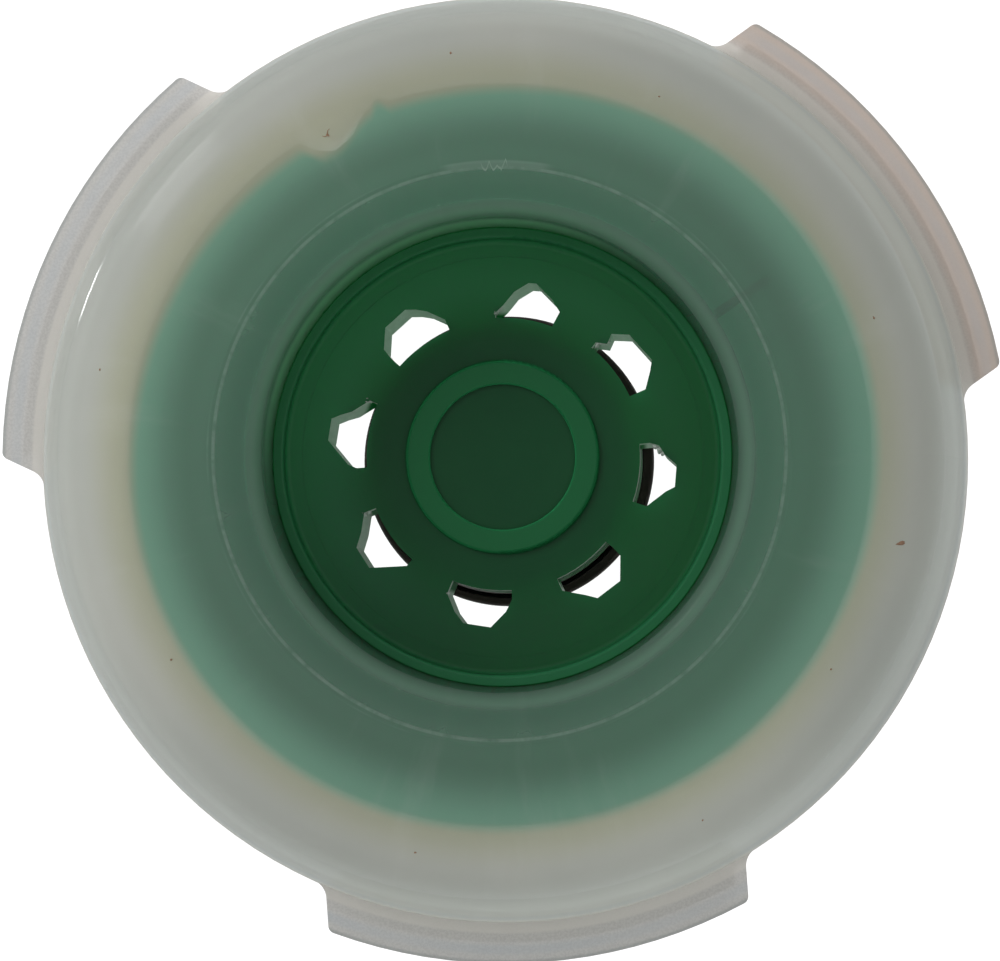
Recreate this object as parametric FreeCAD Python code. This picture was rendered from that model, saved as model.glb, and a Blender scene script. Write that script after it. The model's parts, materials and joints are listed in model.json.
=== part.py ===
import FreeCAD, Part
import math
import os

# Hanging dome trap for wasps, in millimetres.  The origin is the middle of the
# round entry mouth, level with the foot ring that the trap stands on, and +Z is up.
# Wasps climb the neck, pass the eight holes of the entry plate towards the bait
# cup, and drop into the ring-shaped catch bowl.  The clear lid turns off the bowl.

WALL = 1.5                      # general moulded wall

# Catch bowl
FOOT_IN = 39.2                  # flat land of the foot ring
FOOT_OUT = 40.4
NECK_BORE = 33.2
NECK_TOP = 30.0
NECK_FLOOR = 0.6                # the floor between neck and foot ring is raised a little
MOUTH_ROUND = 3.0
SHOULDER_R = 61.5               # where floor and side wall would meet if not rounded
SHOULDER_Z = 6.0
SHOULDER_ROUND = 13.0
RIM_R = 69.2
RIM_TOP = 58.5
RIM_BAND = 3.0                  # the wall is upright just below the rim

# Bayonet claws on the bowl's rim
CLAW_ANGLES = (-35.5, 85.8, 205.0)
CLAW_TIP_R = 75.4
CLAW_HALF_WIDTH = 31.5          # the ends run parallel to the claw's middle line
CLAW_ROOT_R = 68.4              # inside the bowl's wall
CLAW_FILLET = 3.0
CLAW_TIP_ROUND = 1.2
CLAW_PLATE = 2.0
CLAW_SLOT_TOP = 61.9
CLAW_SLOT_R = 72.4
CLAW_LIP_R = 70.2
CLAW_TOP = 63.7
CLAW_STOP = 1.8                 # wall across one end of each slot

# Shade cone round the neck
CONE_WALL = 1.4
CONE_FOOT_R = 51.9
CONE_FOOT_Z = 5.9
CONE_TOP_R = 36.4
CONE_TOP_Z = 31.4
CONE_SLEEVE_IN = 35.0
CONE_SLEEVE_LOW = 20.0
NOTCH_DEPTH_R = 48.6            # ragged drain notch in the cone's foot
NOTCH_CLEAR_R = 54.5
TOOTH_R = 53.0                  # small pointed tooth at one side of the notch
TOOTH_ROOT_R = 49.5
TOOTH_TOP = 7.3
WEB_ANGLE = -33.3               # stiffening web between sleeve and cone
WEB_OUT = 44.8
WEB_LOW = 4.0
WEB_THICK = 0.9

# Entry plate
PLATE_LOW = 31.4
PLATE_TOP = 33.0
PLATE_R = 36.4
COLLAR_OUT = 33.0
COLLAR_IN = 31.5
COLLAR_LOW = 28.0
STEP_R = 29.0
STEP_DROP = 0.3
BOSS_IN = 10.5
BOSS_OUT = 13.9
BOSS_DROP = 1.2
SPIGOT_R = 10.0                 # locates the bait cup
SPIGOT_TOP = 36.0
HOLE_SLANT = 1.05               # the holes lean this far across the plate's thickness
HOLE_SLANT_ANGLE = 45.0
HOLE_LEAN_IN = 0.35             # and this far towards the axis
HOLE_ARC_STEPS = 6
HOLE_CUT = 3                    # the cutters are this many times the plate's thickness

# Bait cup, sponge and cap
CUP_BASE_R = 18.9
CUP_RIM_R = 20.6
CUP_TOP = 77.8
CUP_RECESS_R = 10.3
CUP_RECESS_TOP = 36.2
SPONGE_R = 17.2
SPONGE_LOW = 38.0
SPONGE_TOP = 62.0
CAP_R = 22.1
CAP_THICK_SIDE = 0.45           # the cap's outside is this far off its bore's axis ...
CAP_THICK_ANGLE = 10            # ... towards this side, which gives an edge to push
CAP_BORE = 20.9
CAP_LOW = 70.0
CAP_UNDER = 78.0
CAP_TOP = 79.5
CAP_HOLE_R = 1.5
CAP_HOLE_RINGS = ((1, 0.0), (6, 7.0), (12, 13.5))

# Lid
SEAL_THICK = 1.0
SEAL_IN = 66.5
SEAL_OUT = 69.0
LID_R = 66.3
SPIGOT_LOW = 54.5
FLANGE_R = 68.8
FLANGE_THICK = 2.0
TAB_R = 72.0
TAB_HALF_ANGLE = 23.7
DOME_SHOULDER_R = 62.4
DOME_SHOULDER_Z = 106.0
DOME_SHOULDER_ROUND = 36.0
CROWN_R = 14.0
CROWN_Z = 116.8
HUB_HOLE_R = 8.2

# Hub, bush and hook on the lid's crown
HUB_STEM_R = 8.0
HUB_STEM_LOW = 108.0
HUB_HEAD_R = 17.0
HUB_HEAD_TOP = 127.0
HUB_BORE = 3.3
HUB_SEAL_THICK = 1.0
HUB_SEAL_IN = 8.6
HUB_SEAL_OUT = 13.6
NUT_BORE = 8.1
NUT_FLATS = 22.0
NUT_THICK = 4.0
BUSH_R = 3.2
BUSH_BORE = 1.56
BUSH_FLANGE_R = 5.2
BUSH_FLANGE = 1.2
WIRE_R = 1.5
WIRE_LOW = 103.5
WASHER_R = 5.0
WASHER_THICK = 1.0
WASHER_PLAY = 0.2               # between the washer and the hub's stem
WASHER_BORE = 1.6
HOOK_NUT_FLATS = 7.0
HOOK_NUT_THICK = 2.8
HOOK_NUT_BORE = 1.55
HOOK_BEND_Z = 130.0
HOOK_SWAY_R = 8.0               # bend that carries the wire off the axis
HOOK_R = 11.0                   # the hook itself, centred on the axis
HOOK_TIP_ANGLE = -30.0

SEAM = 0.1                      # overlap of shapes that are about to be joined
SMALLEST_ROUND = 0.01           # a corner with less rounding than this is sharp
SAME_POINT = 0.001              # points nearer than this are one point
Z_AXIS = FreeCAD.Vector(0, 0, 1)
ORIGIN = FreeCAD.Vector(0, 0, 0)

# Each entry hole was opened by hand: its middle angle, the radius of the arc on its
# inside, and its ragged outer edge as points (degrees from the middle, radius).
ENTRY_HOLES = (
    (-80.5, 20.2, ((-12.5, 20.9), (-9.3, 22.0), (-5.5, 24.0), (-1.0, 25.5),
                   (1.5, 25.6), (8.0, 23.9), (12.0, 22.6), (11.4, 20.8))),
    (-125.5, 19.9, ((-13.0, 21.5), (-12.3, 23.2), (-6.7, 25.3), (2.0, 25.6),
                    (5.0, 24.8), (8.0, 23.8), (12.8, 21.6))),
    (-170.5, 19.7, ((-13.8, 21.2), (-12.3, 22.4), (-4.0, 25.4), (3.2, 25.4),
                    (5.2, 24.2), (7.3, 22.8), (13.6, 20.9))),
    (144.5, 19.8, ((-13.1, 21.0), (-4.2, 25.1), (3.7, 24.9), (7.5, 23.2),
                   (13.6, 21.6))),
    (99.5, 19.3, ((-13.4, 20.6), (-10.7, 22.4), (-5.5, 24.7), (3.8, 24.7),
                  (7.8, 23.4), (12.6, 21.3))),
    (54.5, 19.3, ((-15.2, 20.6), (-14.6, 22.2), (-8.0, 24.7), (1.5, 24.6),
                  (4.7, 23.2), (11.4, 21.2))),
    (9.5, 19.9, ((-15.0, 21.4), (-13.8, 22.7), (-10.4, 23.5), (-7.0, 25.2),
                 (0.3, 25.3), (2.5, 24.1), (9.4, 22.0))),
    (-35.5, 20.4, ((-15.4, 21.4), (-11.8, 22.3), (-13.0, 23.8), (-8.5, 25.5),
                   (2.4, 25.8), (5.3, 24.7), (10.1, 22.9), (10.0, 21.2))),
)

# Plan outlines on the cone's foot, as (angle, radius).
TOOTH = ((-106.9, TOOTH_ROOT_R), (-107.2, CONE_FOOT_R), (-109.3, TOOTH_R),
         (-110.4, CONE_FOOT_R), (-110.8, TOOTH_ROOT_R))
NOTCH = ((-110.5, NOTCH_CLEAR_R), (-111.3, 52.0), (-112.8, 50.6), (-114.8, 49.3),
         (-118.4, NOTCH_DEPTH_R), (-120.6, 49.5), (-121.9, 50.6), (-122.8, 52.0),
         (-123.2, NOTCH_CLEAR_R))


def section_point(corner):
    """Point of a half section: radius along X, height along Z."""
    return FreeCAD.Vector(corner[0], 0, corner[1])


def corner_edges(before, corner, after, rounding):
    """Start, end and arc of one corner; the arc is None where it isn't rounded."""
    if rounding < SMALLEST_ROUND:
        return corner, corner, None
    back = (before - corner).normalize()
    ahead = (after - corner).normalize()
    half = back.getAngle(ahead) / 2
    reach = rounding / math.tan(half)
    start = corner + back * reach
    end = corner + ahead * reach
    middle_way = (back + ahead).normalize()
    middle = corner + middle_way * (rounding / math.sin(half) - rounding)
    return start, end, Part.Arc(start, middle, end).toShape()


def closed_wire(points, roundings):
    """Closed wire through points, with each corner rounded by its own radius."""
    count = len(points)
    rounded = []
    for index in range(count):
        after = points[(index + 1) % count]
        rounded.append(corner_edges(points[index - 1], points[index], after, roundings[index]))
    edges = []
    for index in range(count):
        start, end, arc = rounded[index]
        previous_end = rounded[index - 1][1]
        if (start - previous_end).Length > SAME_POINT:
            edges.append(Part.makeLine(previous_end, start))
        if arc:
            edges.append(arc)
    return Part.Wire(Part.__sortEdges__(edges))


def turned(corners):
    """Solid of revolution about Z from corners (radius, height[, rounding])."""
    points = [section_point(corner) for corner in corners]
    roundings = [corner[2] if len(corner) > 2 else 0 for corner in corners]
    face = Part.Face(closed_wire(points, roundings))
    return face.revolve(ORIGIN, Z_AXIS, 360)


def beside(corners, distance):
    """Corners of the path that runs beside this one, distance away to its left."""
    points = [section_point(corner) for corner in corners]
    headings = [(b - a).normalize() for a, b in zip(points, points[1:])]
    lefts = [FreeCAD.Vector(-way.z, 0, way.x) for way in headings]
    result = []
    for index, point in enumerate(points):
        left_before = lefts[max(index - 1, 0)]
        left_after = lefts[min(index, len(lefts) - 1)]
        mitre = (left_before + left_after).normalize()
        moved = point + mitre * (distance / mitre.dot(left_after))
        rounding = corners[index][2] if len(corners[index]) > 2 else 0
        turns_left = left_before.cross(left_after).y < 0
        if rounding:
            rounding += -distance if turns_left else distance
        result.append((moved.x, moved.z, max(rounding, 0)))
    return result


def turned_wall(corners, thickness):
    """Shell of revolution whose wall lies to the left of a path of corners."""
    return turned(list(corners) + beside(corners, thickness)[::-1])


def ring(inner, outer, low, high):
    """Plain ring about Z."""
    return turned(((inner, low), (outer, low), (outer, high), (inner, high)))


def polar(angle, radius, height=0):
    """Point at an angle in degrees and a radius about Z."""
    turn = math.radians(angle)
    return FreeCAD.Vector(radius * math.cos(turn), radius * math.sin(turn), height)


def prism(points, low, high):
    """Upright prism on a plan outline of points."""
    lifted = [FreeCAD.Vector(point.x, point.y, low) for point in points]
    face = Part.Face(Part.makePolygon(lifted + lifted[:1]))
    return face.extrude(Z_AXIS * (high - low))


def hexagon(flats, low, high):
    """Upright hexagonal bar of a width across flats."""
    across_corners = flats / math.cos(math.radians(30)) / 2
    return prism([polar(60 * index, across_corners) for index in range(6)], low, high)


def turn_about_z(shape, angle):
    """Copy of a shape turned about Z."""
    copy = shape.copy()
    copy.rotate(ORIGIN, Z_AXIS, angle)
    return copy


def claw_plan():
    """Plan outline of a claw that points along +X, with fillets at its root."""
    side = CLAW_HALF_WIDTH
    fillet_side = side + CLAW_FILLET
    fillet_x = math.sqrt((RIM_R + CLAW_FILLET) ** 2 - fillet_side ** 2)
    fillet_turn = math.degrees(math.atan2(fillet_side, fillet_x))
    rim_point = polar(fillet_turn, RIM_R)
    root_point = polar(fillet_turn, CLAW_ROOT_R)
    fillet_centre = FreeCAD.Vector(fillet_x, fillet_side, 0)
    half_way = (rim_point + FreeCAD.Vector(fillet_x, side, 0)) * 0.5 - fillet_centre
    fillet_middle = fillet_centre + half_way.normalize() * CLAW_FILLET
    side_start = FreeCAD.Vector(fillet_x, side, 0)
    tip_r = CLAW_TIP_R - CLAW_TIP_ROUND
    tip_side = side - CLAW_TIP_ROUND
    tip_centre = FreeCAD.Vector(math.sqrt(tip_r ** 2 - tip_side ** 2), tip_side, 0)
    side_end = tip_centre + FreeCAD.Vector(0, CLAW_TIP_ROUND, 0)
    tip_turn = math.degrees(math.atan2(tip_centre.y, tip_centre.x))
    tip_end = polar(tip_turn, CLAW_TIP_R)
    tip_middle = tip_centre + polar((90 + tip_turn) / 2, CLAW_TIP_ROUND)

    def mirrored(point):
        return FreeCAD.Vector(point.x, -point.y, 0)

    edges = [
        Part.makeLine(root_point, rim_point),
        Part.Arc(rim_point, fillet_middle, side_start).toShape(),
        Part.makeLine(side_start, side_end),
        Part.Arc(side_end, tip_middle, tip_end).toShape(),
        Part.Arc(tip_end, polar(0, CLAW_TIP_R), mirrored(tip_end)).toShape(),
        Part.Arc(mirrored(tip_end), mirrored(tip_middle), mirrored(side_end)).toShape(),
        Part.makeLine(mirrored(side_end), mirrored(side_start)),
        Part.Arc(mirrored(side_start), mirrored(fillet_middle), mirrored(rim_point)).toShape(),
        Part.makeLine(mirrored(rim_point), mirrored(root_point)),
        Part.Arc(mirrored(root_point), polar(0, CLAW_ROOT_R), root_point).toShape(),
    ]
    return Part.Face(Part.Wire(edges))


def claw():
    """One bayonet claw: a plate, an upright and a lip over a slot with a stop."""
    plan = claw_plan()
    plate_low = RIM_TOP - CLAW_PLATE
    plan.translate(Z_AXIS * plate_low)
    block = plan.extrude(Z_AXIS * (CLAW_TOP - plate_low))
    room = ring(CLAW_ROOT_R - WALL, CLAW_LIP_R, RIM_TOP, CLAW_TOP + SEAM)
    slot = ring(CLAW_ROOT_R - WALL, CLAW_SLOT_R, RIM_TOP, CLAW_SLOT_TOP)
    stop_side = -(CLAW_HALF_WIDTH - CLAW_STOP)
    stop = Part.makeBox(CLAW_TIP_R, CLAW_HALF_WIDTH, CLAW_TOP)
    stop.translate(FreeCAD.Vector(0, stop_side - CLAW_HALF_WIDTH, RIM_TOP))
    return block.cut(room).cut(slot.cut(stop))


def catch_bowl():
    """Ring-shaped bowl with its neck, foot ring, shoulder and three claws."""
    outside = (
        (NECK_BORE, NECK_TOP),
        (NECK_BORE, NECK_FLOOR, MOUTH_ROUND),
        (FOOT_IN, 0),
        (FOOT_OUT, 0),
        (SHOULDER_R, SHOULDER_Z, SHOULDER_ROUND),
        (RIM_R, RIM_TOP - RIM_BAND),
        (RIM_R, RIM_TOP),
    )
    bowl = turned_wall(outside, WALL)
    return bowl.fuse([turn_about_z(claw(), angle) for angle in CLAW_ANGLES]).removeSplitter()


def shade_cone():
    """Cone that keeps the neck dark, with its sleeve, drain notch and web."""
    outside = (
        (CONE_FOOT_R, CONE_FOOT_Z),
        (CONE_TOP_R, CONE_TOP_Z, 2.0),
        (NECK_BORE + SEAM, CONE_TOP_Z),
    )
    cone = turned_wall(outside, CONE_WALL)
    sleeve = ring(CONE_SLEEVE_IN, CONE_TOP_R, CONE_SLEEVE_LOW, NECK_TOP + SEAM)
    web_top_slope = (CONE_TOP_Z - CONE_FOOT_Z) / (CONE_FOOT_R - CONE_TOP_R)
    web_top = CONE_TOP_Z - CONE_WALL - (WEB_OUT - CONE_TOP_R) * web_top_slope
    web_face = Part.Face(Part.makePolygon([
        FreeCAD.Vector(CONE_TOP_R - SEAM, -WEB_THICK / 2, WEB_LOW),
        FreeCAD.Vector(WEB_OUT, -WEB_THICK / 2, WEB_LOW),
        FreeCAD.Vector(WEB_OUT, -WEB_THICK / 2, web_top),
        FreeCAD.Vector(CONE_TOP_R - SEAM, -WEB_THICK / 2, CONE_TOP_Z - CONE_WALL),
        FreeCAD.Vector(CONE_TOP_R - SEAM, -WEB_THICK / 2, WEB_LOW),
    ]))
    web = turn_about_z(web_face.extrude(FreeCAD.Vector(0, WEB_THICK, 0)), WEB_ANGLE)
    tooth = prism([polar(angle, radius) for angle, radius in TOOTH], CONE_FOOT_Z, TOOTH_TOP)
    notch = prism([polar(angle, radius) for angle, radius in NOTCH], 0, PLATE_TOP)
    return cone.fuse([sleeve, web, tooth]).cut(notch).removeSplitter()


def entry_hole(angle, inner_radius, outer_edge):
    """Cutter for one hole, which leans from the plate's underside to its top."""
    first = outer_edge[0][0]
    last = outer_edge[-1][0]
    arc_step = (last - first) / HOLE_ARC_STEPS
    outline = [polar(angle + degrees, radius) for degrees, radius in outer_edge]
    for index in range(HOLE_ARC_STEPS + 1):
        outline.append(polar(angle + last - arc_step * index, inner_radius))
    lean = polar(HOLE_SLANT_ANGLE, HOLE_SLANT) + polar(angle, -HOLE_LEAN_IN)
    rise = PLATE_TOP - PLATE_LOW
    lean.z = rise
    below = [point + Z_AXIS * PLATE_LOW - lean for point in outline]
    above = [point + lean * HOLE_CUT for point in below]
    ends = [Part.makePolygon(ring_points + ring_points[:1]) for ring_points in (below, above)]
    return Part.makeLoft(ends, True, True)


def entry_plate():
    """Disc with eight holes, a collar down the neck and a spigot for the cup."""
    disc = turned((
        (0, PLATE_LOW),
        (BOSS_IN, PLATE_LOW),
        (BOSS_IN, PLATE_LOW - BOSS_DROP, 0.4),
        (BOSS_OUT, PLATE_LOW - BOSS_DROP, 0.4),
        (BOSS_OUT, PLATE_LOW, 0.3),
        (STEP_R, PLATE_LOW),
        (STEP_R, PLATE_LOW - STEP_DROP),
        (COLLAR_IN, PLATE_LOW - STEP_DROP, 0.8),
        (COLLAR_IN, COLLAR_LOW, 0.5),
        (COLLAR_OUT, COLLAR_LOW),
        (COLLAR_OUT, PLATE_LOW),
        (PLATE_R, PLATE_LOW),
        (PLATE_R, PLATE_TOP),
        (SPIGOT_R, PLATE_TOP),
        (SPIGOT_R, SPIGOT_TOP),
        (0, SPIGOT_TOP),
    ))
    return disc.cut([entry_hole(*hole) for hole in ENTRY_HOLES])


def bait_cup():
    """Tapered cup with a recess under its base that drops over the spigot."""
    floor_top = PLATE_TOP + WALL
    step_r = CUP_RECESS_R + WALL
    return turned((
        (0, CUP_RECESS_TOP),
        (CUP_RECESS_R, CUP_RECESS_TOP),
        (CUP_RECESS_R, PLATE_TOP),
        (CUP_BASE_R, PLATE_TOP, 0.6),
        (CUP_RIM_R, CUP_TOP),
        (CUP_RIM_R - WALL, CUP_TOP),
        (CUP_BASE_R - WALL, floor_top),
        (step_r, floor_top),
        (step_r, CUP_RECESS_TOP + WALL),
        (0, CUP_RECESS_TOP + WALL),
    ))


def lure_sponge():
    """Plug of sponge that holds the liquid bait."""
    return turned((
        (0, SPONGE_LOW),
        (SPONGE_R, SPONGE_LOW, 1.0),
        (SPONGE_R, SPONGE_TOP, 2.5),
        (0, SPONGE_TOP),
    ))


def bait_cup_cap():
    """Cap with rings of scent holes, which turns on the cup's rim."""
    cap = turned((
        (0, CAP_LOW),
        (CAP_R, CAP_LOW, 0.5),
        (CAP_R, CAP_TOP, 0.6),
        (0, CAP_TOP),
    ))
    cap.translate(polar(CAP_THICK_ANGLE, CAP_THICK_SIDE))
    below = FreeCAD.Vector(0, 0, CAP_LOW - WALL)
    bore = Part.makeCylinder(CAP_BORE, CAP_UNDER - CAP_LOW + WALL, below, Z_AXIS)
    drills = []
    for count, radius in CAP_HOLE_RINGS:
        for index in range(count):
            centre = polar(360 * index / count, radius, CAP_UNDER - WALL)
            drills.append(Part.makeCylinder(CAP_HOLE_R, 3 * WALL, centre, Z_AXIS))
    return cap.cut([bore] + drills)


def lid_seal():
    """Flat gasket that lies on the bowl's rim."""
    return ring(SEAL_IN, SEAL_OUT, RIM_TOP, RIM_TOP + SEAL_THICK)


def lid_tab():
    """Tab that turns under a claw's lip; this one points along +X."""
    low = RIM_TOP + SEAL_THICK
    band = ring(LID_R - WALL / 2, TAB_R, low, low + FLANGE_THICK)
    far = 2 * TAB_R
    wedge = prism([ORIGIN, polar(-TAB_HALF_ANGLE, far), polar(TAB_HALF_ANGLE, far)],
                  low, low + FLANGE_THICK)
    return band.common(wedge)


def lid_dome():
    """Clear dome with a spigot inside the rim, a flange and three tabs."""
    flange_low = RIM_TOP + SEAL_THICK
    flange_top = flange_low + FLANGE_THICK
    outside = (
        (LID_R, SPIGOT_LOW),
        (LID_R, flange_top),
        (DOME_SHOULDER_R, DOME_SHOULDER_Z, DOME_SHOULDER_ROUND),
        (CROWN_R, CROWN_Z, 4.0),
        (HUB_HOLE_R, CROWN_Z),
    )
    dome = turned_wall(outside, WALL)
    flange = ring(LID_R - WALL / 2, FLANGE_R, flange_low, flange_top)
    tabs = [turn_about_z(lid_tab(), angle) for angle in CLAW_ANGLES]
    return dome.fuse([flange] + tabs).removeSplitter()


def hub_seal():
    """Washer between the hub cap and the crown."""
    return ring(HUB_SEAL_IN, HUB_SEAL_OUT, CROWN_Z, CROWN_Z + HUB_SEAL_THICK)


def hub_cap():
    """Rain cap whose stem passes down through the crown."""
    head_low = CROWN_Z + HUB_SEAL_THICK
    return turned((
        (HUB_BORE, HUB_STEM_LOW),
        (HUB_STEM_R, HUB_STEM_LOW, 0.6),
        (HUB_STEM_R, head_low),
        (HUB_HEAD_R, head_low, 0.5),
        (HUB_HEAD_R, head_low + 3.0, 2.0),
        (BUSH_FLANGE_R + WALL, HUB_HEAD_TOP, 2.0),
        (HUB_BORE, HUB_HEAD_TOP),
    ))


def hub_nut():
    """Hexagonal nut under the crown."""
    top = CROWN_Z - WALL
    bar = hexagon(NUT_FLATS, top - NUT_THICK, top)
    bore = Part.makeCylinder(NUT_BORE, NUT_THICK + 2 * SEAM, Z_AXIS * (top - NUT_THICK - SEAM))
    return bar.cut(bore)


def hook_bush():
    """Flanged bush in the hub's bore."""
    return turned((
        (BUSH_BORE, HUB_STEM_LOW),
        (BUSH_R, HUB_STEM_LOW),
        (BUSH_R, HUB_HEAD_TOP),
        (BUSH_FLANGE_R, HUB_HEAD_TOP),
        (BUSH_FLANGE_R, HUB_HEAD_TOP + BUSH_FLANGE, 0.4),
        (BUSH_BORE, HUB_HEAD_TOP + BUSH_FLANGE),
    ))


def hanger_hook():
    """Wire hook: a stem on the axis, a bend off it, and a hook centred over it."""
    sway = math.acos(HOOK_SWAY_R / (HOOK_SWAY_R + HOOK_R))

    def sway_point(turn):
        return FreeCAD.Vector(HOOK_SWAY_R * (math.cos(turn) - 1), 0,
                              HOOK_BEND_Z + HOOK_SWAY_R * math.sin(turn))

    hook_z = HOOK_BEND_Z + (HOOK_SWAY_R + HOOK_R) * math.sin(sway)

    def hook_point(turn):
        return FreeCAD.Vector(HOOK_R * math.cos(turn), 0, hook_z + HOOK_R * math.sin(turn))

    stem_end = Z_AXIS * HOOK_BEND_Z
    hook_start = math.pi + sway
    hook_end = math.radians(HOOK_TIP_ANGLE)
    route = Part.Wire([
        Part.makeLine(Z_AXIS * WIRE_LOW, stem_end),
        Part.Arc(stem_end, sway_point(sway / 2), sway_point(sway)).toShape(),
        Part.Arc(sway_point(sway), hook_point((hook_start + math.pi / 2) / 2),
                 hook_point(math.pi / 2)).toShape(),
        Part.Arc(hook_point(math.pi / 2), hook_point((math.pi / 2 + hook_end) / 2),
                 hook_point(hook_end)).toShape(),
    ])
    section = Part.Wire(Part.makeCircle(WIRE_R, Z_AXIS * WIRE_LOW, Z_AXIS))
    wire = route.makePipeShell([section], True, True)
    return wire.fuse(Part.makeSphere(WIRE_R, hook_point(hook_end)))


def hook_washer():
    """Washer that bears up against the hub's stem."""
    top = HUB_STEM_LOW - WASHER_PLAY
    return ring(WASHER_BORE, WASHER_R, top - WASHER_THICK, top)


def hook_nut():
    """Small nut on the threaded lower end of the hook."""
    top = HUB_STEM_LOW - WASHER_PLAY - WASHER_THICK
    bar = hexagon(HOOK_NUT_FLATS, top - HOOK_NUT_THICK, top)
    bore_low = Z_AXIS * (top - HOOK_NUT_THICK - SEAM)
    return bar.cut(Part.makeCylinder(HOOK_NUT_BORE, HOOK_NUT_THICK + 2 * SEAM, bore_low))


SUB_PARTS = (catch_bowl, shade_cone, entry_plate, bait_cup, lure_sponge, bait_cup_cap,
             lid_dome, lid_seal, hub_cap, hub_seal, hub_nut, hook_bush,
             hanger_hook, hook_washer, hook_nut)

os.makedirs("parts", exist_ok=True)
for make in SUB_PARTS:
    shape = make()
    shape.exportStep(f"parts/{make.__name__}.step")
    box = shape.BoundBox
    print(f"{make.__name__:14} valid={shape.isValid()} solids={len(shape.Solids)} "
          f"volume={shape.Volume:.1f} z={box.ZMin:.2f}..{box.ZMax:.2f}")
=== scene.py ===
import json
import math

import bpy
from mathutils import Matrix, Vector, noise
from mathutils.bvhtree import BVHTree


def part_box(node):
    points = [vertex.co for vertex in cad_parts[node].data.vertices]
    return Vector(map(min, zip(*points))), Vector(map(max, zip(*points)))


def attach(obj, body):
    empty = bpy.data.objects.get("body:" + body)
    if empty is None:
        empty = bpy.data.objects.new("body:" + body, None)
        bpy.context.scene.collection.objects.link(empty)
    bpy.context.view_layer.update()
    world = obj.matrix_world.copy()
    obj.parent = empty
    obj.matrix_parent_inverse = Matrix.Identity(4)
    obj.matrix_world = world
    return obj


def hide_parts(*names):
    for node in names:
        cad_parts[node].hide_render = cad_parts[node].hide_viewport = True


# Looks of a hanging dome trap for wasps, seen from straight below.  Metres, the CAD
# frame: the origin is the middle of the foot ring's plane and +Z is up.

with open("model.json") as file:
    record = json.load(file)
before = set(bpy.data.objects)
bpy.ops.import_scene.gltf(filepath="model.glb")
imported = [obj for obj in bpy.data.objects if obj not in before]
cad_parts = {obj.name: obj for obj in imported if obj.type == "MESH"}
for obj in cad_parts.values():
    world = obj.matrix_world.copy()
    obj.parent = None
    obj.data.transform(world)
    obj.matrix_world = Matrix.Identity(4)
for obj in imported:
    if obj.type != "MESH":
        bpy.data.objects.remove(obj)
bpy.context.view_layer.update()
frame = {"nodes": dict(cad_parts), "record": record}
nodes = frame["nodes"]
MM = 0.001
TAU = 2 * math.pi

# Camera, and strengths of the white seen behind, the light it casts and the floor's glow.
CAMERA_AT = Vector((10.7, 10.7, -700.0)) * MM
CAMERA_TO = Vector((0.1, 3.7, 0.0)) * MM
LENS_MM = 181.9
SENSOR_MM = 36.0
SEEN_WHITE = 1.15
CAST_WHITE = 0.45
FLOOR_GLOW = 0.18
LIGHTS_AIM = Vector((0, 0, 0.05))

# Floor: a studio sweep, flat under the trap, that curves up far outside it.
FLAT_REACH = 2.6
FLAT_RINGS = (0.1, 0.4, 0.7)
COVE_RADIUS = 1.0
COVE_STEPS = 6
COVE_TOP = 6.0
COVE_AROUND = 48

# Places on the object: distances from its axis, heights above its foot, and for the
# speck in the cone's notch its angle and its distance in millimetres.
NECK_R = (0.0343, 0.0362)
CONE_EDGE_R = (0.0506, 0.0528)
CLAW_R = (0.0688, 0.0695)
BOSS_R = (0.0107, 0.0137)
BOSS_TOP_Z = (0.0308, 0.0312)
HOLES_R = (0.0185, 0.0268)
PLATE_Z = (0.0312, 0.0332)
PLATE_UNDER = 31.4 * MM
NOTCH_SPECK = (-118.3, 50.5)


# ---------------------------------------------------------------- camera and room

def polar(degrees, radius, height):
    """Point at an angle and radius round the axis."""
    turn = math.radians(degrees)
    return Vector((radius * math.cos(turn), radius * math.sin(turn), height))


def look_at(thing, place, target, up):
    """Put thing at place, looking along its own -Z at target."""
    back = (place - target).normalized()
    right = up.cross(back).normalized()
    thing.matrix_world = Matrix.Translation(place) @ Matrix(
        (right, back.cross(right), back)).transposed().to_4x4()


def add_camera():
    data = bpy.data.cameras.new("camera")
    data.lens = LENS_MM
    data.sensor_width = SENSOR_MM
    data.clip_start = 0.01
    data.clip_end = 50.0
    camera = bpy.data.objects.new("camera", data)
    bpy.context.scene.collection.objects.link(camera)
    look_at(camera, CAMERA_AT, CAMERA_TO, Vector((0, -1, 0)))
    bpy.context.scene.camera = camera


def add_area(name, place, target, size, power, mirrored=True):
    """Soft box of size (across, along), unseen by the camera and, if said, in reflections."""
    data = bpy.data.lights.new(name, "AREA")
    data.shape = "RECTANGLE"
    data.size, data.size_y = size
    data.energy = power
    light = bpy.data.objects.new(name, data)
    bpy.context.scene.collection.objects.link(light)
    up = Vector((0, 0, 1)) if abs(place.x) + abs(place.y) > 0.05 else Vector((0, 1, 0))
    look_at(light, place, target, up)
    light.visible_camera = False
    light.visible_glossy = mirrored


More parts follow.
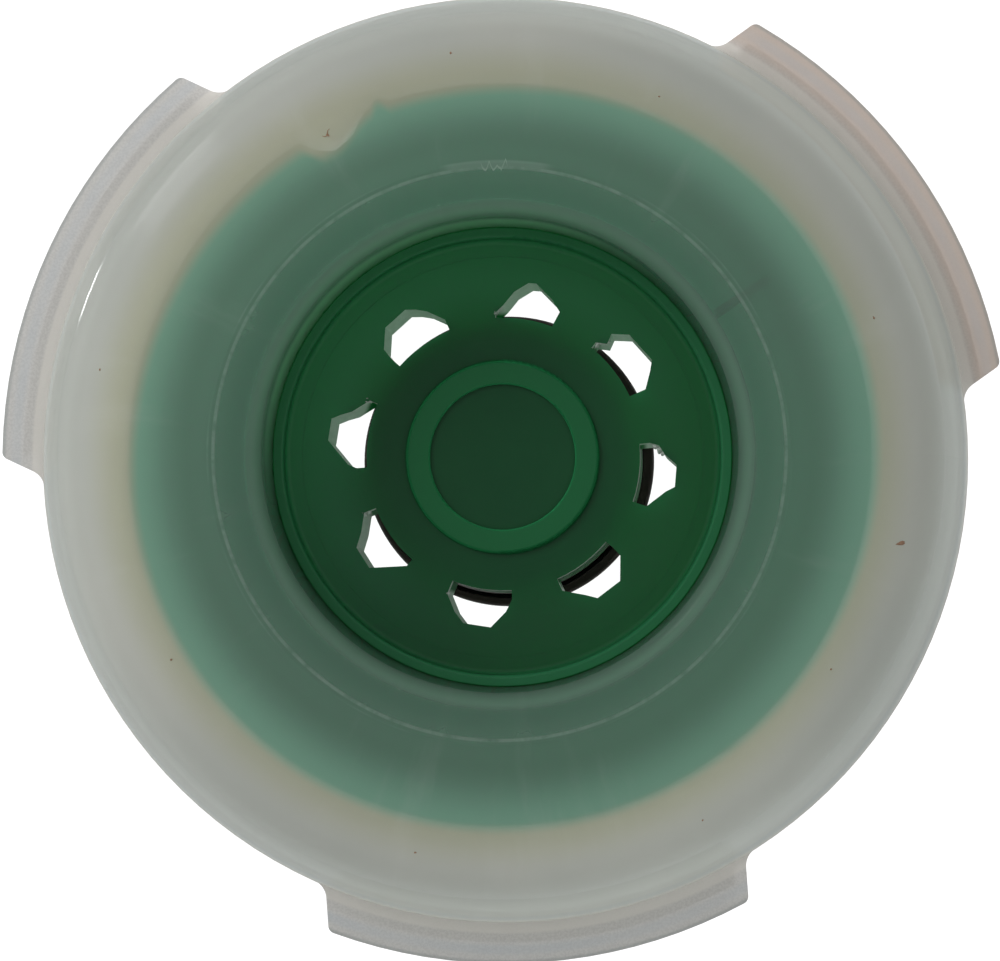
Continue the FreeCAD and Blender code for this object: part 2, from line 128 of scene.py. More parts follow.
def add_floor(material):
    """Studio sweep round the axis, at the height the foot ring rests on."""
    turns = [math.radians(90 * step / COVE_STEPS) for step in range(COVE_STEPS + 1)]
    profile = [(share * FLAT_REACH, 0.0) for share in FLAT_RINGS]
    profile += [(FLAT_REACH + COVE_RADIUS * math.sin(turn), COVE_RADIUS * (1 - math.cos(turn)))
                for turn in turns]
    profile.append((FLAT_REACH + COVE_RADIUS, COVE_TOP))
    points = [Vector((0, 0, 0))]
    for radius, height in profile:
        points += [polar(360 * index / COVE_AROUND, radius, height) for index in range(COVE_AROUND)]
    faces = [(0, 1 + index, 1 + (index + 1) % COVE_AROUND) for index in range(COVE_AROUND)]
    for row in range(len(profile) - 1):
        first = 1 + row * COVE_AROUND
        outer = first + COVE_AROUND
        for index in range(COVE_AROUND):
            after = (index + 1) % COVE_AROUND
            faces.append((first + index, outer + index, outer + after, first + after))
    mesh = bpy.data.meshes.new("floor")
    mesh.from_pydata(points, [], faces)
    mesh.shade_smooth()
    mesh.materials.append(material)
    floor = bpy.data.objects.new("floor", mesh)
    bpy.context.scene.collection.objects.link(floor)
    floor.visible_shadow = False
    floor.visible_diffuse = False
    floor.visible_glossy = False
    floor.visible_transmission = False


def add_room_light():
    """White behind everything, softer as light on the trap."""
    world = bpy.data.worlds.new("room")
    bpy.context.scene.world = world
    world.use_nodes = True
    tree = world.node_tree
    tree.nodes.clear()
    seen = tree.nodes.new("ShaderNodeBackground")
    seen.inputs["Color"].default_value = (1.0, 1.0, 1.0, 1)
    seen.inputs["Strength"].default_value = SEEN_WHITE
    cast = tree.nodes.new("ShaderNodeBackground")
    cast.inputs["Color"].default_value = (0.98, 1.0, 1.0, 1)
    cast.inputs["Strength"].default_value = CAST_WHITE
    path = tree.nodes.new("ShaderNodeLightPath")
    pick = tree.nodes.new("ShaderNodeMixShader")
    out = tree.nodes.new("ShaderNodeOutputWorld")
    tree.links.new(path.outputs["Is Camera Ray"], pick.inputs[0])
    tree.links.new(cast.outputs[0], pick.inputs[1])
    tree.links.new(seen.outputs[0], pick.inputs[2])
    tree.links.new(pick.outputs[0], out.inputs["Surface"])


# ---------------------------------------------------------------- node helpers

class Shader:
    """A material's node tree with short calls for the nodes used here."""

    def __init__(self, name):
        self.material = bpy.data.materials.new(name)
        self.material.use_nodes = True
        self.tree = self.material.node_tree
        self.tree.nodes.clear()
        place = self.add("ShaderNodeTexCoord").node.outputs["Object"]
        self.place = place
        parts = self.add("ShaderNodeSeparateXYZ", {"Vector": place}).node.outputs
        self.z = parts[2]
        flat = self.add("ShaderNodeVectorMath", {0: place, 1: (1, 1, 0)}, operation="MULTIPLY")
        length = self.add("ShaderNodeVectorMath", {0: flat}, operation="LENGTH")
        self.r = length.node.outputs["Value"]
        self.angle = self.math("ARCTAN2", parts[1], parts[0])

    def add(self, kind, inputs=None, **settings):
        node = self.tree.nodes.new(kind)
        for key, value in settings.items():
            setattr(node, key, value)
        for key, value in (inputs or {}).items():
            if isinstance(value, bpy.types.NodeSocket):
                self.tree.links.new(value, node.inputs[key])
            else:
                node.inputs[key].default_value = value
        return node.outputs[0] if node.outputs else node

    def math(self, operation, *values, clamp=False):
        return self.add("ShaderNodeMath", dict(enumerate(values)), operation=operation,
                        use_clamp=clamp)

    def mul(self, *values):
        result = values[0]
        for value in values[1:]:
            result = self.math("MULTIPLY", result, value)
        return result

    def plus(self, a, b, clamp=False):
        return self.math("ADD", a, b, clamp=clamp)

    def smooth(self, value, low, high, start=0.0, end=1.0):
        """Smooth step from start at low to end at high."""
        return self.add("ShaderNodeMapRange", {"Value": value, 1: low, 2: high, 3: start, 4: end},
                        interpolation_type="SMOOTHSTEP")

    def band(self, value, low, high, soft):
        """1 between low and high, falling to 0 over soft outside them."""
        return self.mul(self.smooth(value, low - soft, low),
                        self.smooth(value, high, high + soft, 1.0, 0.0))

    def noise(self, scale, detail=4.0, rough=0.55, vector=None):
        """Noise with scale cells to a metre."""
        return self.add("ShaderNodeTexNoise",
                        {"Vector": vector or self.place, "Scale": scale, "Detail": detail,
                         "Roughness": rough})

    def ring_vector(self, angle_scale, radius_scale, height_scale=0.0):
        """Coordinates that run round the axis, so noise makes marks along or across it."""
        return self.add("ShaderNodeCombineXYZ",
                        {0: self.mul(self.angle, angle_scale), 1: self.mul(self.r, radius_scale),
                         2: self.mul(self.z, height_scale)})

    def colour(self, factor, first, second):
        node = self.add("ShaderNodeMix", {0: factor, 6: first, 7: second}, data_type="RGBA").node
        return node.outputs[2]

    def bump(self, height, strength, distance):
        return self.add("ShaderNodeBump",
                        {"Height": height, "Strength": strength, "Distance": distance})

    def towards(self, degrees):
        """1 on the side of the axis at this angle, -1 on the side away from it."""
        return self.math("COSINE", self.plus(self.angle, math.radians(-degrees)))

    def sector(self, first, last, soft):
        """1 between two angles in degrees, falling to 0 over soft radians outside them."""
        return self.band(self.angle, math.radians(first), math.radians(last), soft)

    def blend(self, factor, first, second):
        return self.add("ShaderNodeMixShader", {0: factor, 1: first, 2: second})

    def finish(self, surface):
        output = self.tree.nodes.new("ShaderNodeOutputMaterial")
        self.tree.links.new(surface, output.inputs["Surface"])
        return self.material


def grey(value):
    return (value, value, value, 1.0)


# ---------------------------------------------------------------- materials

def painted_cone_glow(s, body):
    """Painted light: green light from the cone behind the floor, which the milky wall spreads, painted into
    the wall's colour.
    """
    first = s.math("SINE", s.plus(s.angle, math.radians(46.5)))
    second = s.math("SINE", s.plus(s.mul(s.angle, 2.0), math.radians(160.4)))
    notch = s.mul(s.smooth(s.angle, math.radians(-123.8), math.radians(-120.4)),
                  s.smooth(s.angle, math.radians(-118.4), math.radians(-110.6), 1.0, 0.0))
    tooth = s.sector(-109.4, -109.2, 0.03)
    edge = s.plus(s.r, s.plus(s.mul(notch, 0.0026), s.mul(tooth, -0.0012)))
    edge = s.plus(edge, s.plus(s.mul(first, -0.00098), s.mul(second, -0.00052)))
    over_cone = s.smooth(edge, *CONE_EDGE_R, 1.0, 0.0)
    # Painted green glow, lighter and greener towards the cone's edge.
    painted_glow_colour = s.colour(s.smooth(s.r, 0.0355, 0.042), (0.230, 0.330, 0.280, 1), (0.31, 0.425, 0.365, 1))
    painted_glow_colour = s.colour(s.smooth(s.r, 0.043, 0.051), painted_glow_colour, (0.38, 0.64, 0.51, 1))
    return s.colour(over_cone, body, painted_glow_colour)


def foot_scuff(s):
    """Thin worn line on the foot ring's land, double in places, with a wider worn patch."""
    low = s.smooth(s.z, 0.0006, 0.001, 1.0, 0.0)
    patchy = s.smooth(s.noise(1.0, 4.0, 0.65, s.ring_vector(14.0, 250.0)), 0.3, 0.6, 0.25, 1.0)
    line = s.mul(s.band(s.r, 0.03960, 0.03986, 0.00020), patchy, 0.28)
    twin_spots = s.smooth(s.noise(1.0, 2.0, 0.5, s.ring_vector(1.6, 20.0)), 0.5, 0.62)
    twin = s.mul(s.band(s.r, 0.04046, 0.04058, 0.00014), twin_spots, patchy, 0.12)
    patch = s.mul(s.band(s.r, 0.0397, 0.0406, 0.0003), s.sector(-99, -82, 0.06), 0.2)
    saw = s.math("PINGPONG", s.angle, math.radians(0.8))
    jitter = s.smooth(s.noise(1.0, 1.0, 0.5, s.ring_vector(30.0, 0.0)), 0.3, 0.7, 0.01, 0.13)
    saw_line = s.plus(s.mul(saw, jitter), 0.0394)
    off_line = s.math("ABSOLUTE", s.math("SUBTRACT", s.r, saw_line))
    scratch = s.mul(s.smooth(off_line, 0.00010, 0.00022, 1.0, 0.0), s.sector(-93.4, -88.6, 0.01), 0.45)
    scuff = s.math("MAXIMUM", s.math("MAXIMUM", line, twin), s.math("MAXIMUM", patch, scratch))
    return s.mul(scuff, low)


def claw_colours(s, body, frost, grain, flow):
    """Frosted claws: painted shade darkens their edge and painted light lightens their root, with a bluish
    line inside the edge and along the root.
    """
    speckle = s.colour(s.smooth(grain, 0.38, 0.62), (0.79, 0.765, 0.75, 1), (0.87, 0.845, 0.83, 1))
    body = s.colour(frost, body, speckle)
    pink_claw = s.mul(s.smooth(s.r, 0.0700, 0.0728), s.sector(-65, -5, 0.03))
    body = s.colour(s.mul(pink_claw, 0.8), body, (0.79, 0.66, 0.585, 1))
    # Painted light: the shaded valley at the claws' root is painted lighter.
    root = s.band(s.r, 0.0690, 0.0706, 0.0006)
    body = s.colour(s.mul(root, 0.8), body, (1.0, 0.96, 0.92, 1))
    inner_line = s.mul(s.band(s.r, 0.0680, 0.0684, 0.0008), 0.18)
    outer_line = s.mul(s.band(s.r, 0.0731, 0.0736, 0.0009), s.smooth(flow, 0.3, 0.7, 0.15, 0.30))
    body = s.colour(s.plus(outer_line, inner_line), body, (0.55, 0.64, 0.74, 1))
    # Painted shade: the claws' rounded outer edge is painted darker.
    return s.colour(s.mul(s.smooth(s.r, 0.0747, 0.0752), 0.5), body, (0.42, 0.45, 0.45, 1))


def milky_plastic():
    """Natural polypropylene: milky, part see-through, glowing with light from behind."""
    s = Shader("milky_plastic")
    cloud = s.noise(28.0, 3.0, 0.5)
    flow = s.noise(1.0, 4.0, 0.6, s.ring_vector(7.0, 30.0, 20.0))
    grain = s.noise(2600.0, 2.0, 0.6)
    body = s.colour(s.smooth(cloud, 0.35, 0.65), (0.71, 0.71, 0.675, 1), (0.75, 0.74, 0.70, 1))
    body = s.colour(s.smooth(s.r, 0.0590, 0.0665), body, (0.94, 0.95, 0.92, 1))
    # Painted light: a warm glow of light scattered in the milk beside the cone's edge, painted into the
    # colour.
    painted_warm_glow = s.smooth(s.r, 0.0525, 0.0590, 1.0, 0.0)
    body = s.colour(painted_warm_glow, body, (0.64, 0.63, 0.50, 1))
    body = painted_cone_glow(s, body)

    # The neck, painted green for the cone's light spread in its milky wall, and painted lighter on one side
    # as painted light.
    in_neck = s.smooth(s.r, *NECK_R, 1.0, 0.0)
    painted_neck_light = s.smooth(s.towards(-120), 0.1, 0.9)
    painted_neck_light = s.mul(painted_neck_light, s.smooth(s.z, 0.003, 0.014))
    neck = s.colour(painted_neck_light, (0.36, 0.54, 0.44, 1), (0.62, 0.95, 0.72, 1))
    body = s.colour(in_neck, body, neck)
    body = s.colour(s.smooth(flow, 0.55, 0.8, 0.0, 0.12), body, (0.9, 0.9, 0.88, 1))

    scuff = foot_scuff(s)
    body = s.colour(scuff, body, (0.92, 0.94, 0.92, 1))
    frost = s.smooth(s.r, *CLAW_R)
    body = claw_colours(s, body, frost, grain, flow)

    hairs = s.noise(1.0, 4.0, 0.6, s.ring_vector(12.0, 1500.0, 500.0))
    height = s.plus(s.mul(grain, s.smooth(frost, 0, 1, 0.12, 0.4)), s.mul(hairs, 0.12))
    normal = s.bump(height, 0.35, 0.0001)
    rough = s.plus(s.mul(s.noise(90.0, 4.0), 0.08), s.smooth(frost, 0, 1, 0.12, 0.4))
    rough = s.plus(rough, s.mul(scuff, 0.3), clamp=True)
    gloss = s.add("ShaderNodeBsdfPrincipled", {"Base Color": body, "Roughness": rough,
                                               "Normal": normal, "IOR": 1.49})
    glow = s.add("ShaderNodeBsdfTranslucent", {"Color": body, "Normal": normal})
    milk = s.blend(0.5, gloss, glow)
    clear = s.add("ShaderNodeBsdfTransparent", {"Color": (0.98, 1.0, 0.99, 1)})
    opaque = s.smooth(s.r, 0.0430, 0.0520, 0.5, 0.86)
    # Painted light: the neck's lit side is also made more opaque, so it shows lighter.
    opaque = s.plus(opaque, s.mul(in_neck, painted_neck_light, 0.35))
    opaque = s.plus(opaque, s.mul(scuff, 0.3), clamp=True)
    return s.finish(s.blend(opaque, clear, milk))


def green_plastic(name="green_plastic", torn=False, thin=False):
    """Dark green moulding, a little see-through where light is behind it."""
    s = Shader(name)
    cloud = s.noise(35.0, 4.0, 0.6)
    turning = s.noise(1.0, 4.0, 0.6, s.ring_vector(3.0, 1400.0, 1400.0))
    deep = s.colour(s.smooth(cloud, 0.3, 0.7), (0.010, 0.126, 0.043, 1), (0.016, 0.148, 0.052, 1))
    deep = s.colour(s.smooth(turning, 0.5, 0.8, 0.0, 0.25), deep, (0.03, 0.16, 0.07, 1))
    # Painted light: the boss's flat face is painted a lighter green.
    boss = s.mul(s.band(s.r, *BOSS_R, 0.0003), s.smooth(s.z, *BOSS_TOP_Z, 1.0, 0.0))
    deep = s.colour(boss, deep, (0.023, 0.262, 0.090, 1))
    # Painted light and shade: the plate is painted lighter from the holes outwards, clear of the shadow the
    # cup casts, and painted darker on the side towards 47 degrees.
    painted_shade_side = s.smooth(s.towards(47), -0.8, 0.8)
    outer = s.colour(painted_shade_side, (0.060, 0.255, 0.145, 1), (0.025, 0.108, 0.056, 1))
    deep = s.colour(s.smooth(s.r, 0.018, 0.026, 0.0, 0.85), deep, outer)
    # Painted light: the ring at the plate's rim is painted a lighter green.
    painted_rim_light = s.mul(s.smooth(s.r, 0.0308, 0.0314), s.smooth(s.z, 0.0285, 0.0310, 1.0, 0.3))
    deep = s.colour(painted_rim_light, deep, (0.047, 0.29, 0.13, 1))

    # Steep faces: the sides of the boss and of the step, painted lighter as painted light where they stand
    # in shade, then the cut walls of the holes.
    true_normal = s.add("ShaderNodeNewGeometry").node.outputs["True Normal"]
    facing = s.add("ShaderNodeSeparateXYZ", {"Vector": true_normal}).node.outputs[2]
    level = s.math("ABSOLUTE", facing)
    upright = s.smooth(level, 0.75, 0.9, 1.0, 0.0)
    steep = s.smooth(level, 0.5, 0.97, 1.0, 0.0)
    painted_boss_side_light = s.mul(steep, s.band(s.r, 0.0102, 0.0142, 0.0002), s.smooth(s.z, 0.0312, 0.0315, 1.0, 0.0))
    deep = s.colour(painted_boss_side_light, deep, (0.06, 0.55, 0.21, 1))
    painted_step_side_light = s.mul(steep, s.smooth(s.r, 0.0318, 0.0322))
    deep = s.colour(painted_step_side_light, deep, (0.085, 0.46, 0.22, 1))
    # Painted light and shade: the cut walls are pale torn plastic painted lighter still, while the walls of
    # each hole nearest the axis, above the underside, keep the dark green as painted shade.
    cut = s.mul(upright, s.band(s.r, *HOLES_R, 0.0005), s.band(s.z, *PLATE_Z, 0.0002))
    lit_wall = s.math("MAXIMUM", s.smooth(s.r, 0.0204, 0.0212), s.smooth(s.z, 0.03165, 0.0318, 1.0, 0.0))
    cut = s.mul(cut, lit_wall)
    # The torn burrs are pale nearly all over, with the same painted light.
    if torn:
        cut = s.smooth(cloud, 0.0, 0.1, 0.8, 1.0)
    pale = s.colour(s.noise(900.0, 3.0, 0.6), (0.66, 0.74, 0.67, 1), (1.0, 1.0, 0.98, 1))
    deep = s.colour(cut, deep, pale)
    grain = s.noise(1500.0, 3.0, 0.6)
    height = s.plus(s.mul(turning, 0.6), s.mul(grain, 0.5))
    normal = s.bump(height, 0.3, 0.0001)
    rough = s.plus(s.mul(s.noise(60.0, 4.0), 0.2), 0.3)
    body = s.add("ShaderNodeBsdfPrincipled", {"Base Color": deep, "Roughness": rough,
                                              "Normal": normal, "IOR": 1.46})
    lit = (0.13, 0.55, 0.36, 1) if thin else (0.02, 0.42, 0.13, 1)
    glow = s.add("ShaderNodeBsdfTranslucent", {"Color": s.colour(cut, lit, pale), "Normal": normal})
    return s.finish(s.blend(0.75 if thin else 0.4, body, glow))


def black_plastic():
    """Brownish black moulding with a fine satin grain."""
    s = Shader("black_plastic")
    turning = s.noise(1.0, 4.0, 0.6, s.ring_vector(4.0, 900.0, 900.0))
    tone = s.colour(s.noise(70.0, 4.0), (0.013, 0.008, 0.006, 1), (0.026, 0.016, 0.012, 1))
    normal = s.bump(s.plus(turning, s.mul(s.noise(1800.0, 2.0), 0.5)), 0.3, 0.0001)
    rough = s.plus(s.mul(s.noise(120.0, 4.0), 0.2), 0.32)
    return s.finish(s.add("ShaderNodeBsdfPrincipled", {"Base Color": tone, "Roughness": rough,
                                                       "Normal": normal, "IOR": 1.5}))


def clear_plastic():
    """Clear polished lid: see-through, with a rim of reflection and light scuffs."""
    s = Shader("clear_plastic")
    scratches = s.noise(1.0, 6.0, 0.8, s.ring_vector(60.0, 500.0, 2400.0))
    marks = s.smooth(scratches, 0.62, 0.8)
    normal = s.bump(s.noise(160.0, 2.0), 0.05, 0.0003)
    mirror = s.add("ShaderNodeBsdfAnisotropic",
                   {"Color": grey(1.0), "Roughness": s.plus(s.mul(marks, 0.3), 0.04), "Normal": normal})
    haze = s.add("ShaderNodeBsdfTranslucent", {"Color": grey(0.9)})
    clear = s.add("ShaderNodeBsdfTransparent", {"Color": (0.985, 0.995, 0.99, 1)})
    # The node turns the index over on back faces, so it is turned over again there.
    back = s.add("ShaderNodeNewGeometry").node.outputs["Backfacing"]
    index = s.smooth(back, 0.0, 1.0, 1.45, 1 / 1.45)
    fresnel = s.add("ShaderNodeFresnel", {"IOR": index})
    body = s.blend(s.mul(marks, 0.06), clear, haze)
    return s.finish(s.blend(fresnel, body, mirror))


def silicone():
    """Pale silicone rubber of the seals, slightly see-through."""
    s = Shader("pale_silicone")
    tone = s.colour(s.noise(200.0, 4.0), (0.62, 0.63, 0.60, 1), (0.74, 0.74, 0.70, 1))
    normal = s.bump(s.noise(1500.0, 3.0), 0.3, 0.0001)
    body = s.add("ShaderNodeBsdfPrincipled", {"Base Color": tone, "Roughness": s.plus(
        s.mul(s.noise(300.0, 3.0), 0.2), 0.5), "Normal": normal, "IOR": 1.41})
    glow = s.add("ShaderNodeBsdfTranslucent", {"Color": tone})
    return s.finish(s.blend(0.35, body, glow))


def nylon():
    """Off-white nylon with fine turned lines."""
    s = Shader("bush_nylon")
    tone = s.colour(s.noise(160.0, 4.0), (0.66, 0.64, 0.57, 1), (0.78, 0.76, 0.70, 1))
    normal = s.bump(s.noise(1.0, 4.0, 0.6, s.ring_vector(2.0, 2000.0, 2000.0)), 0.3, 0.0001)
    return s.finish(s.add("ShaderNodeBsdfPrincipled", {
        "Base Color": tone, "Roughness": s.plus(s.mul(s.noise(400.0, 3.0), 0.2), 0.4),
        "Normal": normal, "IOR": 1.53}))


def steel():
    """Zinc-plated drawn wire: fine lines along it, dull spangle, a few dark spots."""
    s = Shader("zinc_steel")
    spangle = s.noise(420.0, 3.0, 0.6)
    drawn = s.noise(1.0, 4.0, 0.7, s.add("ShaderNodeVectorMath", {0: s.place, 1: (5000, 5000, 300)},
                                         operation="MULTIPLY"))
    tone = s.colour(s.smooth(spangle, 0.35, 0.65), (0.50, 0.51, 0.52, 1), (0.68, 0.69, 0.70, 1))
    tone = s.colour(s.smooth(s.noise(900.0, 4.0), 0.66, 0.74), tone, (0.30, 0.28, 0.25, 1))
    rough = s.plus(s.mul(drawn, 0.2), s.smooth(spangle, 0.3, 0.7, 0.18, 0.3))
    normal = s.bump(drawn, 0.2, 0.00005)
    return s.finish(s.add("ShaderNodeBsdfPrincipled", {"Base Color": tone, "Metallic": 1.0,
                                                       "Roughness": rough, "Normal": normal}))


def foam():
    """Open-cell sponge, darker towards its foot, with the middle of each pore painted dark as painted
    shade.
    """
    s = Shader("lure_foam")
    cells = s.add("ShaderNodeTexVoronoi", {"Vector": s.place, "Scale": 900.0}).node.outputs[0]
    tone = s.colour(s.noise(120.0, 4.0), (0.60, 0.43, 0.15, 1), (0.76, 0.60, 0.26, 1))
    # Painted shade: the middle of each pore is painted dark.
    tone = s.colour(s.smooth(cells, 0.0, 0.45, 0.75, 0.0), tone, (0.20, 0.12, 0.03, 1))
    tone = s.colour(s.smooth(s.z, 0.040, 0.055, 0.6, 0.0), tone, (0.28, 0.17, 0.05, 1))
    normal = s.bump(cells, 0.8, 0.0006)
    return s.finish(s.add("ShaderNodeBsdfPrincipled", {
        "Base Color": tone, "Roughness": s.plus(s.mul(cells, 0.2), 0.7), "Normal": normal,
        "Sheen Weight": 0.2}))


def dirt():
    """Dry brown dirt."""
    s = Shader("brown_dirt")
    tone = s.colour(s.noise(2500.0, 4.0), (0.27, 0.14, 0.08, 1), (0.48, 0.30, 0.19, 1))
    normal = s.bump(s.noise(5000.0, 3.0), 0.6, 0.0001)
    return s.finish(s.add("ShaderNodeBsdfPrincipled", {
        "Base Color": tone, "Roughness": s.plus(s.mul(s.noise(3000.0, 2.0), 0.3), 0.5),
        "Normal": normal}))


def floor_paper():
    """Pale floor that is seen from above and not from below."""
    s = Shader("floor_paper")
    tone = s.colour(s.noise(3.0, 3.0), (0.86, 0.86, 0.86, 1), (0.90, 0.90, 0.895, 1))
    normal = s.bump(s.noise(700.0, 3.0), 0.05, 0.0002)
    top = s.add("ShaderNodeBsdfPrincipled", {"Base Color": tone, "Roughness": s.plus(
        s.mul(s.noise(40.0, 2.0), 0.1), 0.6), "Normal": normal,
        "Emission Color": grey(1.0), "Emission Strength": FLOOR_GLOW})
    clear = s.add("ShaderNodeBsdfTransparent", {"Color": grey(1.0)})
    back = s.add("ShaderNodeNewGeometry").node.outputs["Backfacing"]
    return s.finish(s.blend(back, top, clear))


# ---------------------------------------------------------------- mesh helpers

def mesh_piece(name, points, faces, material, body):
    """New piece from points in metres, riding on a body."""
    mesh = bpy.data.meshes.new(name)
    mesh.from_pydata([tuple(point) for point in points], [], faces)
    mesh.validate()
    mesh.update()
    mesh.shade_smooth()
    mesh.materials.append(material)
    piece = bpy.data.objects.new(name, mesh)
    bpy.context.scene.collection.objects.link(piece)
    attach(piece, body)
    return piece


def lump(points, faces, centre, size, seed, spin, knobbly, around=10, levels=6, up=(0, 0, 1)):
    """Adds one irregular closed lump to points and faces, with its height along up."""
    first = len(points)
    offset = Vector((seed * 3.7, seed * 1.3, seed * 7.1))
    tilt = Vector((0, 0, 1)).rotation_difference(Vector(up)).to_matrix()
    turn = tilt @ Matrix.Rotation(spin, 3, "Z")

    def shaped(direction):
        swell = 1.0 + knobbly * noise.noise(direction * 1.7 + offset) * 2.0
        local = Vector((direction.x * size[0], direction.y * size[1], direction.z * size[2]))
        return centre + turn @ (local * swell)

    points.append(shaped(Vector((0, 0, -1))))
    for level in range(1, levels):
        polar_turn = math.pi * level / levels - math.pi / 2
        for index in range(around):
            turn_angle = TAU * index / around
            points.append(shaped(Vector((math.cos(polar_turn) * math.cos(turn_angle),
                                         math.cos(polar_turn) * math.sin(turn_angle),
                                         math.sin(polar_turn)))))
    points.append(shaped(Vector((0, 0, 1))))
    last = len(points) - 1
    for index in range(around):
        after = (index + 1) % around
        faces.append((first, first + 1 + after, first + 1 + index))
        top_row = first + 1 + (levels - 2) * around
        faces.append((last, top_row + index, top_row + after))
        for level in range(levels - 2):
            row = first + 1 + level * around
            faces.append((row + index, row + after, row + around + after, row + around + index))


def tube(points, faces, route, radius, around=8):
    """Adds a closed round tube along a route, with a radius or one for each point."""
    first = len(points)
    count = len(route)
    radii = radius if isinstance(radius, (list, tuple)) else [radius] * count
    side = None
    for index, centre in enumerate(route):
        ahead = (route[min(index + 1, count - 1)] - route[max(index - 1, 0)]).normalized()
        if side is None:
            side = ahead.orthogonal().normalized()
        side = (side - ahead * side.dot(ahead)).normalized()
        other = ahead.cross(side)
        for step in range(around):
            turn = TAU * step / around
            points.append(centre + (side * math.cos(turn) + other * math.sin(turn)) * radii[index])
    for index in range(count - 1):
        row = first + index * around
        for step in range(around):
            after = (step + 1) % around
            faces.append((row + step, row + after, row + around + after, row + around + step))
    end = first + (count - 1) * around
    faces.append(tuple(first + step for step in reversed(range(around))))
    faces.append(tuple(end + step for step in range(around)))


def helix(points, faces, radius, low, high, pitch, thickness):
    """Adds a thread ridge that winds from low to high and tapers at both ends."""
    turns = (high - low) / pitch
    steps = int(turns * 28)
    route = []
    radii = []
    for index in range(steps + 1):
        share = index / steps
        ease = min(1.0, share * turns * 3, (1 - share) * turns * 3)
        route.append(polar(360 * turns * share, radius, low + (high - low) * share))
        radii.append(thickness * max(ease, 0.15))
    tube(points, faces, route, radii, 6)


# ---------------------------------------------------------------- pieces

def hole_burrs(material):
    """Torn plastic left at the edges of the entry holes."""
    points, faces = [], []
    # Angle and radius of each lump, its height above the plate's underside, and its size.
    spots = (
        (-6.0, 21.75, 0.4, (0.45, 0.40, 0.30)), (-4.2, 22.25, 0.5, (0.50, 0.36, 0.35)),
        (-2.6, 22.80, 0.5, (0.50, 0.34, 0.35)), (-1.5, 23.35, 0.5, (0.42, 0.34, 0.35)),
        (-1.0, 23.95, 0.5, (0.45, 0.32, 0.32)), (0.2, 24.50, 0.6, (0.42, 0.30, 0.30)),
        (1.9, 25.05, 0.6, (0.36, 0.26, 0.28)),
        (-49.9, 21.30, 0.3, (0.55, 0.40, 0.30)), (-49.4, 22.20, 0.5, (0.60, 0.42, 0.35)),
        (-47.9, 22.60, 0.5, (0.50, 0.38, 0.32)),
        (-93.0, 20.95, 0.3, (0.45, 0.35, 0.30)), (-91.6, 21.45, 0.4, (0.45, 0.38, 0.32)),
        (-161.9, 22.90, 0.3, (0.40, 0.28, 0.25)), (-157.3, 21.20, 0.3, (0.42, 0.34, 0.28)),
        (-156.8, 20.70, 0.3, (0.32, 0.26, 0.24)),
        (157.9, 21.70, 0.3, (0.42, 0.34, 0.28)), (157.7, 20.90, 0.3, (0.38, 0.30, 0.26)),
        (148.8, 24.75, 0.4, (0.45, 0.30, 0.26)), (146.6, 24.90, 0.4, (0.34, 0.26, 0.24)),
        (111.9, 21.30, 0.3, (0.34, 0.30, 0.26)),
    )
    for index, (degrees, radius, rise, size) in enumerate(spots):
        centre = polar(degrees, radius * MM, PLATE_UNDER + rise * MM)
        lump(points, faces, centre, [v * MM for v in size], 3 + index,
             spin=math.radians(degrees + 40 + 37 * index), knobbly=0.55, around=12, levels=8)
    mesh_piece("hole_burrs", points, faces, material, "base")


def dirt_specks(material):
    """Specks of dirt that stick to the bowl's underside."""
    points, faces = [], []
    mesh = nodes["catch_bowl"].data
    bowl = BVHTree.FromPolygons([v.co for v in mesh.vertices], [p.vertices for p in mesh.polygons])

    def underside(degrees, radius):
        below = polar(degrees, radius * MM, -10 * MM)
        place, normal = bowl.ray_cast(below, Vector((0, 0, 1)))[:2]
        return place, normal * math.copysign(1.0, normal.z)

    # Angle and radius of each speck, and its size.
    spots = [(12.5, 57.3, (0.66, 0.24, 0.08)), (*NOTCH_SPECK, (0.26, 0.15, 0.08)),
             (-97.0, 56.5, (0.20, 0.16, 0.08)), (148.0, 54.0, (0.18, 0.14, 0.08)),
             (61.0, 58.4, (0.16, 0.12, 0.08)), (-20.0, 55.5, (0.15, 0.18, 0.08)),
             (102.0, 56.8, (0.18, 0.12, 0.08)), (-168.0, 57.2, (0.14, 0.14, 0.08)),
             (33.0, 55.0, (0.13, 0.13, 0.08)), (-66.0, 54.6, (0.16, 0.11, 0.08))]
    for index, (degrees, radius, size) in enumerate(spots):
        place, up = underside(degrees, radius)
        lump(points, faces, place, [v * MM for v in size], 30 + index,
             spin=index * 1.1 - 0.15, knobbly=0.5, up=up)
    # Three short legs that curl out from the speck in the notch.
    middle = underside(*NOTCH_SPECK)[0]
    curl = ((0.0, 0.0), (0.35, 0.1), (0.7, 0.3), (1.0, 0.6))
    for turn, reach in ((0.4, 1.1), (2.4, 0.8), (4.4, 0.9)):
        route = [middle + Vector((math.cos(turn + bend), math.sin(turn + bend), -0.05)) * reach * share * MM
                 for share, bend in curl]
        tube(points, faces, route, [0.08 * MM, 0.07 * MM, 0.06 * MM, 0.03 * MM], 6)
    mesh_piece("dirt_specks", points, faces, material, "base")


def grip_ribs(name, count, radius, low, high, depth, material, body):
    """Ribs round a cap that give the fingers a grip."""
    points, faces = [], []
    swells = ((0, 0.3), (0.06, 0.8), (0.14, 1.0), (0.5, 1.0), (0.86, 1.0), (0.94, 0.8), (1, 0.3))
    for index in range(count):
        degrees = 360 * index / count
        route = [polar(degrees, radius, low + (high - low) * share) for share, swell in swells]
        tube(points, faces, route, [depth * swell for share, swell in swells])
    mesh_piece(name, points, faces, material, body)


def thread(name, radius, low, high, pitch, thickness, material, body):
    """Screw thread round the axis, as a ridge of its own."""
    points, faces = [], []
    helix(points, faces, radius, low, high, pitch, thickness)
    mesh_piece(name, points, faces, material, body)


